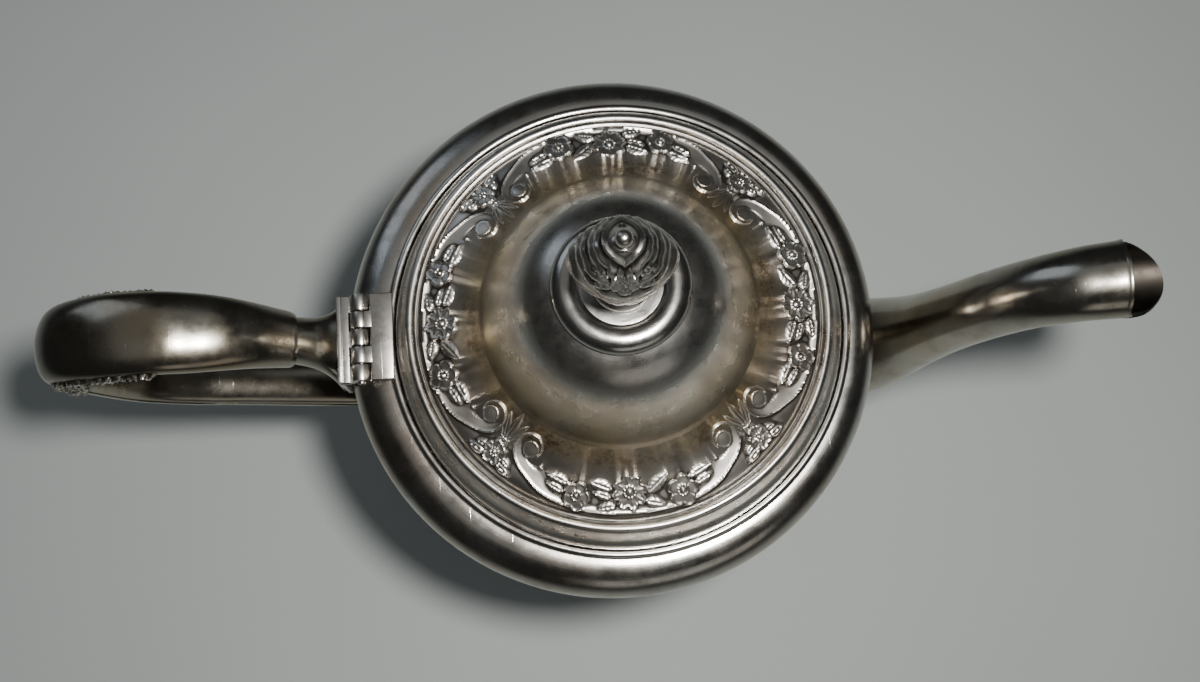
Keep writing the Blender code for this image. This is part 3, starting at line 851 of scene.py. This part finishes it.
def foot(materials):
    """The collar at the waist, the spread foot and its rim."""
    collar = standing([(22.0, 40.7)], arc((24.9, 40.0), (1.0, 0.6), 90, -20, 8),
                      arc((25.4, 39.0), (2.0, 0.75), 40, -40, 10), arc((24.9, 38.0), (1.0, 0.6), 20, -90, 8),
                      [(22.0, 37.3)])
    ring("waist_ring", collar, "pot", materials["trim"], "waist_collar", 192, BODY_SHIFT)
    slope = through([(22.5, 37), (24.0, 31), (28.5, 24), (34.2, 19.6)], 8)
    fall = through([(37.4, 16.4), (40.0, 12), (41.0, 6.3)], 8)
    moulding = reeds(slope[-1], fall[0], 3, 0.45)
    inside = offset_outline(np.vstack([slope[:-1], fall]), SHEET)[::-1]
    dome_outline = standing(slope[:-1], moulding, fall[1:], inside)
    ring("foot", dome_outline, "pot", materials["body"], "foot_dome", AROUND, BODY_SHIFT)
    rim = standing([(39.6, 6.0)], arc((40.4, 4.9), (1.7, 1.1), 90, -10, 10),
                   arc((41.2, 3.0), (2.3, 1.3), 35, -45, 12),
                   [(43.3, 1.4), (43.5, 0.9), (43.1, 0.1), (42.6, 0), (38.6, 0), (38.6, 5.0)])
    ring("foot_ring", rim, "pot", materials["trim"], "foot_rim", AROUND, BODY_SHIFT)


# ---- cast ornament ----
SPRAY_LEAVES = (((1.6, 0.3), (4.3, 0.9), 1.9), ((1.4, -1.0), (3.6, -1.7), 1.4))


def spray(u, v, reach):
    """A five-petalled flower between two leaves, with a bud beyond each; `reach` scales the spray."""
    u = u / reach
    v = v / reach
    height = np.zeros(u.shape)
    for side in (-1, 1):
        for start, end, width in SPRAY_LEAVES:
            height = np.maximum(height, 0.75 * leaf(side * u, v, start, end, width, veins=False))
        height = np.maximum(height, 0.7 * dome(np.hypot(u - side * 4.9, v + 0.5) / 0.75))
    blossom = flower(u, v, 2.1, 5, 0.3, False, 8)
    return np.where(blossom >= 0, np.maximum(height, 0.15 + 0.9 * blossom), height)


# ---- the spout ----
SPOUT_LIP_X = (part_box("spout")[1].x - LID_X) / MM
SPOUT_WALL = 1.1
SPOUT = [(40, -88, 28, -62, 36), (60, -79.5, 42, -54.5, 33), (73, -66, 53, -46.5, 28.6),
         (82.4, -49.4, 61, -36.6, 25), (88, -33, 71, -25, 19.6), (92.6, -18.2, 77.4, -11.8, 17.1),
         (98.6, -2.5, 85.4, 4.5, 16.6), (104.7, 7.4, 94.1, 16.6, 16.8), (111.5, 13, 103.4, 24.3, 17.6),
         (119.4, 15.8, 110.8, 27.8, 18.2), (127.6, 17.9, 121.0, 31.2, 18.8), (135, 19.4, 131, 34, 19.2)]
SPOUT_SIDES = 144
MOUNT_SIDES = 360
MOUNT_SCALLOPS = 6
MOUNT_EDGE_WEAR = 0.3
SCALLOP_DEPTH = 1.7
LIP_WEAR = 0.45
LIP_EDGE = 0.16            # how far the mouth's edge stands out
LIP_LENGTH = 11.0          # the lower lip reaches this far past the straight-cut upper one
SPOUT_MOUNT = [(40, -93, 26, -57, 44), (62, -83.5, 40, -50, 38), (75, -68, 51.5, -44, 31.4)]


def inside_body(points, clearance):
    """How far each point lies inside the body's outer face, in millimetres."""
    profile = through(BODY_SIDE, 8)[::-1]
    wall = np.interp(points[..., 2], profile[:, 1], profile[:, 0]) + clearance
    return wall - np.hypot(points[..., 0] - BODY_SHIFT, points[..., 1])


def rooted(points, clearance):
    """Slide the points of a grid that lie inside the body out along its columns to the body's face.

    The last row lies outside the body. A column whose first row does too is only lengthened a little.
    """
    depth = inside_body(points, clearance)
    result = points.copy()
    for column in range(points.shape[1]):
        line = points[:, column]
        outside = int(np.argmax(depth[:, column] < 0))
        before = depth[outside - 1, column]
        after = depth[outside, column]
        face = line[outside - 1] + (line[outside] - line[outside - 1]) * before / (before - after)
        result[:, column] = evenly(np.vstack([face, line[outside:]]), len(points))
    return result


def cut_mouth(points, section):
    """Cut the tube's end straight across its upper half and round in plan along its lower lip."""
    half = np.abs(points[-40:, :, 1]).max()
    tongue = LIP_LENGTH * np.sqrt(np.clip(1 - (points[-1, :, 1] / half) ** 2, 0, 1))
    lower = smoothstep(0.35, -0.05, section[:, 1])
    limit = SPOUT_LIP_X - LIP_LENGTH + tongue * lower
    result = points.copy()
    for column in range(points.shape[1]):
        line = points[:, column]
        keep = int(np.argmax(line[:, 0] > limit[column]))
        share = (limit[column] - line[keep - 1, 0]) / (line[keep, 0] - line[keep - 1, 0])
        end = line[keep - 1] + share * (line[keep] - line[keep - 1])
        result[:, column] = evenly(np.vstack([line[:keep], end]), len(points))
    return result


def spout(material):
    """The swan-neck spout: a tapering tube with a thickened edge round its mouth."""
    section = circle(SPOUT_SIDES)
    tube = rooted(loft(SPOUT, 20, section), GAP)
    normals = normals_of(tube)
    outer = cut_mouth(tube, section)
    inner = cut_mouth(tube - normals * SPOUT_WALL, section)
    distance = np.cumsum(np.linalg.norm(np.diff(outer, axis=0, prepend=outer[:1]), axis=-1), axis=0)
    edge = ridge((distance[-1:] - distance - 0.4) / 0.35)
    outer = outer + normals_of(outer) * (LIP_EDGE * edge)[..., None]
    rounded = (outer[-1] + inner[-1]) / 2 + (outer[-1] - outer[-2]) * 0.35
    inner = inner[::-2]
    points = np.vstack([outer, rounded[None], inner])
    # the spout's inside is darkened as painted shade
    exposed = np.full(points.shape[:2], SHADED_INSIDE)
    exposed[:len(outer)] = PLAIN
    exposed[len(outer)] = LIP_WEAR
    mesh = mesh_from_grid("spout_tube", points, wrap_rows=True, relief=exposed)
    add_piece("spout_tube", mesh, "pot", material, 50.0, "spout")


def spout_socket(material):
    """The cast mount round the spout's root, scalloped at its edge and chased with sprays."""
    outer = rooted(loft(SPOUT_MOUNT, 60, circle(MOUNT_SIDES)), GAP)
    along, _ = travelled(outer)
    span = along[-1, 0]
    angle = np.arange(MOUNT_SIDES) * 360 / MOUNT_SIDES
    scallop = np.cos(np.radians(angle) * MOUNT_SCALLOPS) ** 2
    pull = smoothstep(0.5, 1.0, along / span) * SCALLOP_DEPTH * (1 - scallop)
    direction = np.gradient(outer, axis=0)
    direction /= np.linalg.norm(direction, axis=-1, keepdims=True)
    outer = outer - direction * pull[..., None]
    radius = np.linalg.norm(outer - outer.mean(axis=1, keepdims=True), axis=-1)
    height = 0.6 * ridge((span - along - 0.9) / 0.5)
    for middle in np.arange(MOUNT_SCALLOPS) * 360 / MOUNT_SCALLOPS:
        turn = np.mod(angle[None, :] - middle + 180, 360) - 180
        height = np.maximum(height, spray(np.radians(turn) * radius, along - span + 5.4, 1.15))
    normal = normals_of(outer)
    raised = outer + normal * (height * 0.8)[..., None]
    edge = [outer[-1] - normal[-1] * depth for depth in (0.5, 1.2, 2.6)]
    exposed = np.vstack([wear(height, 8), np.full((len(edge), MOUNT_SIDES), MOUNT_EDGE_WEAR)])
    mesh = mesh_from_grid("spout_socket", np.vstack([raised, edge]), wrap_rows=True, relief=exposed)
    add_piece("spout_socket", mesh, "pot", material, 50.0, "spout_mount")


# ---- the handle ----
REACH = (LID_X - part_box("handle_grip")[0].x) / MM
NECK_ROOT = (LID_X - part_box("handle_neck")[1].x) / MM
NECK = [(-NECK_ROOT, -15.6, -NECK_ROOT, -0.6, 22), (-72.0, -9.0, -71.2, 1.0, 16.4),
        (-75.6, -4.0, -73.6, 4.2, 12.8), (-80.4, 1.6, -78.0, 8.8, 11.4)]
GRIP = [(-80.2, 1.4, -77.0, 9.4, 13.4), (-88.6, 10, -84.2, 16.4, 15.8), (-94, 14.2, -91.2, 21.2, 17.6),
        (-101, 17, -99.2, 24.2, 19), (-108.4, 18.8, -108, 26, 19.6), (-119.8, 17.4, -122.6, 24.6, 20),
        (-129, 12.6, -135, 18.4, 18.8), (7.6 - REACH, 5.6, -REACH, 7.4, 17.2),
        (-131.2, -8, -138.6, -9.6, 16), (-124.8, -25.6, -131.8, -29.6, 15.4),
        (-113.6, -36, -118, -43.2, 15), (-101.2, -42.8, -104.8, -51, 14.4), (-72.6, -57.8, -76.6, -66.4, 14)]
TAIL = [(-72, -57.4, -76, -66.8, 14.4), (-62, -62, -66, -73.6, 16.6), (-44, -68, -50, -86, 21)]
GRIP_STEPS = 30            # rows from one station of the grip to the next
GRIP_COLUMNS = 72          # points over the crown, and again over the underside
FLOWERS_FROM = 4           # the station where the chased edges start
FLOWERS_LENGTH = 48
FLOWER_PITCH = 8.4
FLOWER_COUNT = 6
CARVING_DEPTH = 1.7
EDGE_UP = -0.30            # height of the strap's side edges in its section


def strap_section(columns):
    """A broad crowned strap with crisp side edges, over a narrower rounded underside."""
    crown = [(math.cos(a), EDGE_UP + (1 - EDGE_UP) * math.sin(a) ** 0.8)
             for a in np.linspace(0, math.pi, columns)]
    under = [(0.95 * math.cos(a), EDGE_UP - 0.10 - (0.90 + EDGE_UP) * math.sin(-a) ** 0.9)
             for a in np.linspace(-math.pi, 0, columns)]
    lip_left = [(-1.0, EDGE_UP - 0.07), (-0.97, EDGE_UP - 0.10)]
    lip_right = [(0.97, EDGE_UP - 0.10), (1.0, EDGE_UP - 0.07)]
    return np.array(crown + lip_left + under + lip_right)


def chased_edges(along, around):
    """Height of the row of sprays down both side edges of the grip."""
    height = np.zeros(along.shape)
    start = along[FLOWERS_FROM * GRIP_STEPS, 0]
    end = start + FLOWERS_LENGTH
    mask = plateau(start - 3, start + 1, end, end + 3, along)
    beyond_edges = (around - around[:, GRIP_COLUMNS - 1:GRIP_COLUMNS], around[:, -1:] - around)
    for beyond in beyond_edges:
        mask = mask * smoothstep(-1.5, -0.7, beyond)
        for number in range(FLOWER_COUNT):
            centre = start + 2.0 + number * FLOWER_PITCH
            height = np.maximum(height, spray(along - centre, beyond - 0.8, 1.0))
    return height * mask


def handle(material):
    """The hollow handle's neck, its grip with chased edges, and its lower end."""
    neck = loft(NECK, 14, strap_section(24))
    neck_mesh = mesh_from_grid("handle_socket", neck, caps=True, relief=np.full(neck.shape[:2], PLAIN))
    add_piece("handle_socket", neck_mesh, "pot", material, 45.0, "handle_neck")

    grip = loft(GRIP, GRIP_STEPS, strap_section(GRIP_COLUMNS))
    along, around = travelled(grip)
    height = chased_edges(along, around)
    length = along[-1, 0]
    ends = plateau(0.0, 1.6, length - 1.6, length, along)
    centre = grip.mean(axis=1, keepdims=True)
    grip = centre + (grip - centre) * (0.95 + 0.05 * ends ** 0.5)[..., None]
    carved = grip + normals_of(grip) * (height * CARVING_DEPTH)[..., None]
    grip_mesh = mesh_from_grid("handle_loop", carved, caps=True, relief=wear(height, 8))
    add_piece("handle_loop", grip_mesh, "pot", material, 45.0, "handle_grip")

    tail = rooted(loft(TAIL, 24, circle(96))[::-1], GAP)[::-1]
    tail_mesh = mesh_from_grid("handle_foot", tail, caps=True, relief=np.full(tail.shape[:2], PLAIN))
    add_piece("handle_foot", tail_mesh, "pot", material, 45.0, "handle_tail")


# ---- the hinge ----
BARREL_R = 2.5
BORE_R = 1.1
HINGE_WIDTH = 21.6
KNUCKLES = 5


def about_pin(name, outline, segments=56):
    """An outline of radii and distances along the pin, turned about it."""
    outline = np.array(outline, dtype=float)
    angles = np.linspace(0, 2 * np.pi, segments, endpoint=False)
    x = PIN_X + outline[:, :1] * np.cos(angles)
    z = PIN_Z + outline[:, :1] * np.sin(angles)
    y = np.repeat(outline[:, 1:2], segments, axis=1)
    return mesh_from_grid(name, np.stack([x, y, z], -1), wrap_rows=True)


def slab(low, high, bevel=0.25):
    """A plate with rounded edges between two corners given from the pin's axis, in outline units."""
    bm = bmesh.new()
    bmesh.ops.create_cube(bm, size=1.0)
    low = np.array(low, dtype=float)
    high = np.array(high, dtype=float)
    for vert in bm.verts:
        vert.co = [(a + b) / 2 + t * (b - a) for a, b, t in zip(low, high, vert.co)]
    bmesh.ops.bevel(bm, geom=bm.edges[:], offset=bevel, segments=3, profile=0.5, affect='EDGES')
    for vert in bm.verts:
        vert.co = [LID_X + (PIN_X + vert.co.x) * MM, vert.co.y * MM, SEAM_Z + (PIN_Z + vert.co.z) * MM]
    mesh = bpy.data.meshes.new("slab")
    bm.to_mesh(mesh)
    bm.free()
    return cleaned(mesh)


def hinge(materials):
    """The two leaves with their knuckles, and the pin."""
    pitch = (HINGE_WIDTH + GAP) / KNUCKLES
    leaves = {"body": [], "lid": []}
    for number in range(KNUCKLES):
        start = -HINGE_WIDTH / 2 + number * pitch
        end = start + pitch - GAP
        outline = [(BORE_R, start), (BARREL_R - 0.3, start), (BARREL_R - 0.08, start + 0.08),
                   (BARREL_R, start + 0.3), (BARREL_R, end - 0.3), (BARREL_R - 0.08, end - 0.08),
                   (BARREL_R - 0.3, end), (BORE_R, end)]
        owner = "lid" if number % 2 else "body"
        leaves[owner].append(about_pin("knuckle", outline))
        if owner == "lid":
            leaves[owner].append(slab((0.9, start, 0.9), (3.0, end, 2.15), 0.1))
        else:
            leaves[owner].append(slab((-5.6, start, -2.2), (-1.2, end, -0.4), 0.1))
    half = HINGE_WIDTH / 2
    leaves["body"].append(slab((-5.9, -half, -16.0), (-4.7, half, 0.4)))
    leaves["body"].append(slab((-5.0, -half, -3.4), (-2.95, half, -0.2), 0.15))
    leaves["lid"].append(slab((2.6, -half, 1.05), (8.2, half, 2.1), 0.3))
    add_piece("hinge_body", together("hinge_body", leaves["body"]), "pot", materials["hinge"], 30.0,
              "hinge_body_leaf")
    add_piece("hinge_lid", together("hinge_lid", leaves["lid"]), "lid", materials["hinge"], 30.0,
              "hinge_lid_leaf")
    end = half + 0.7
    pin = [(0.0, -end), (0.5, -end), (0.8, -end + 0.12), (0.9, -end + 0.35), (0.9, end - 0.35),
           (0.8, end - 0.12), (0.5, end), (0.0, end)]
    add_piece("pin", about_pin("pin", pin, 40), "pot", materials["pin"], 30.0, "hinge_pin")


# ---- the finial ----
FINIAL = [(0.05, 84.5), (0.8, 84.3), (1.5, 83.7), (1.85, 82.6), (1.6, 81.4), (1.5, 80.6), (2.6, 79.9),
          (4.2, 78.0), (6.2, 75.4), (8.6, 72.0), (10.6, 69.2), (11.45, 67.0), (11.0, 64.6), (9.2, 61.6),
          (6.4, 58.4), (4.4, 55.6), (3.6, 53.0), (3.7, 51.2), (4.6, 50.6), (5.0, 50.0), (4.6, 49.4),
          (5.2, 48.6), (6.4, 47.6), (6.6, 46.8)]
FINIAL_COLUMNS = 420
BUD_Z = 67.0
BUD_FLATTEN = 0.76
STEM_Z = 53.5              # below the bud's flutes
BEAD_Z = 80.4              # the plain bead on top starts here
LENS = [(0.0, 6.8), (1.5, 5.6), (2.8, 3.8), (3.6, 1.4), (3.2, -0.9), (1.6, -2.6), (0.0, -3.5)]
RIBS = ((0.0, 1.0), (1.75, 0.62), (2.75, 0.62), (4.3, 0.55), (5.3, 0.55), (6.9, 0.45))     # offset, strength
BLADES = (((2.9, 0.2), (7.6, 0.4), 2.4), ((2.7, -1.2), (6.9, -2.2), 1.8), ((3.0, 1.6), (6.4, 2.6), 1.5))


def bud_relief(x, y, z):
    """Height of the finial's ornament: nested leaf ribs round the top, a flower on the front."""
    lens = through(LENS, 8)
    lens = np.vstack([lens, lens[-2::-1] * np.array([-1.0, 1.0])])
    distance, _, where = nearest(lens, x, y)
    outside = np.hypot(x, y - 1.2) > 3.0
    distance = np.where(outside, distance, -distance)
    upper = smoothstep(BUD_Z - 0.6, BUD_Z + 1.2, z)
    ribs = np.zeros(x.shape)
    for step, strength in RIBS:
        ribs += strength * ridge((distance - step) / 0.36)
    notches = 1 - 0.45 * smoothstep(1.0, 2.0, distance) * np.abs(np.sin(where * np.pi * 13 + distance)) ** 4
    height = 0.85 * np.clip(ribs, 0, 1.1) * upper * notches
    front = (y < -1.0) & (z > BUD_Z - 3)
    v = (z - 71.6) * 1.13
    height = np.where(front & (np.hypot(x / 1.5, v + 0.2) < 4.0), height * 0.15, height)
    for k in (-2.5, -1.5, -0.5, 0.5, 1.5, 2.5):
        petal = leaf(x, v, (k * 1.55, 2.5 - 0.12 * k * k), (k * 2.05, 5.2 - 0.30 * k * k), 1.5, veins=False)
        height = np.where(front, np.maximum(height, 0.95 * petal), height)
    for side in (-1, 1):
        for start, end, width in BLADES:
            blade = leaf(side * x, v, start, end, width, veins=False)
            height = np.where(front, np.maximum(height, 0.85 * blade), height)
    blossom = flower(x, v, 3.3, 5, 1.57, False, 8)
    return np.where(front & (blossom >= 0), 0.1 + 0.95 * blossom, height)


def finial(material):
    """The bud on top of the lid: a wide pointed oval in plan, chased all over."""
    run = through(FINIAL, 8)
    angles = np.linspace(0, 2 * np.pi, FINIAL_COLUMNS, endpoint=False)
    near_rim = ridge((run[:, 1:] - BUD_Z) / 7.0)
    power = 2 / (2 - 0.34 * near_rim)
    flatten = 1 - (1 - BUD_FLATTEN) * plateau(52.0, 60.0, 79.0, 81.0, run[:, 1:])
    x = run[:, :1] * np.sign(np.cos(angles)) * np.abs(np.cos(angles)) ** power
    y = run[:, :1] * flatten * np.sign(np.sin(angles)) * np.abs(np.sin(angles)) ** power
    z = run[:, 1:] - 1.6 * near_rim * np.clip(-np.sin(angles), 0, 1) ** 3
    points = np.stack([x, y, z], -1)
    height = bud_relief(x, y, z)
    flute = np.abs(np.sin(angles * 6)) ** 0.7
    height = np.where(z < BUD_Z - 1.6, 0.55 * flute * plateau(STEM_Z, 57.0, 62.5, 65.0, z), height)
    bead = z > BEAD_Z
    height = np.where(bead, 0.0, height)
    polish = np.where(bead | (z < STEM_Z), 0.65, wear(height, 8))
    raised = points + normals_of(points) * (height * 0.95)[..., None]
    mesh = mesh_from_grid("finial_bud", raised, caps=True, relief=polish)
    add_piece("finial_bud", mesh, "lid", material, 60.0, "finial")


WASHER = [(1.7, 42.95), (5.3, 42.95), (5.5, 42.75), (5.5, 42.45), (5.3, 42.25), (1.7, 42.25)]
NUT_FLAT = 3.3
NUT_BORE = 1.6
NUT = [(0.0, 41.9), (0.12, 41.9), (0.85, 41.9), (1.0, 41.55), (1.0, 39.6), (0.85, 39.2), (0.12, 39.2),
       (0.0, 39.2)]        # share of the way from the bore to the hexagon, height


def fasteners(material):
    """The stud that holds the finial, with its washer and nut inside the lid."""
    thread = np.linspace(38.3, 46.0, 110)
    stud = np.vstack([[(0.0, 52.6), (1.2, 52.6), (1.2, 46.2)],
                      np.column_stack([1.06 + 0.14 * np.cos(thread * 2 * np.pi / 0.7), thread])[::-1],
                      [(0.8, 38.1), (0.0, 38.1)]])
    ring("stud", stud, "lid", material, "finial_stud", 32, sharp=50.0)
    ring("washer", WASHER, "lid", material, "finial_washer", 96)
    angles = np.linspace(0, 2 * np.pi, 96, endpoint=False)
    hexagon = NUT_FLAT / np.cos(np.mod(angles, np.pi / 3) - np.pi / 6)
    rows = []
    for share, z in NUT:
        radius = NUT_BORE + (hexagon - NUT_BORE) * share
        rows.append(np.stack([radius * np.cos(angles), radius * np.sin(angles), np.full(96, z)], -1))
    mesh = mesh_from_grid("nut", np.stack(rows), wrap_rows=True)
    add_piece("nut", mesh, "lid", material, 30.0, "finial_nut")


def build():
    materials = build_materials()
    make_camera()
    make_lights()
    make_table(table_material())
    body(materials["vessel"])
    shoulder(materials["body"])
    mouth(materials["trim"])
    foot(materials)
    spout(materials["spout"])
    spout_socket(materials["cast"])
    handle(materials["handle"])
    hinge(materials)
    flower_band(materials["chased"])
    lid_cover(materials["lid"])
    lid_rings(materials["trim"])
    finial(materials["cast"])
    fasteners(materials["steel"])


build()
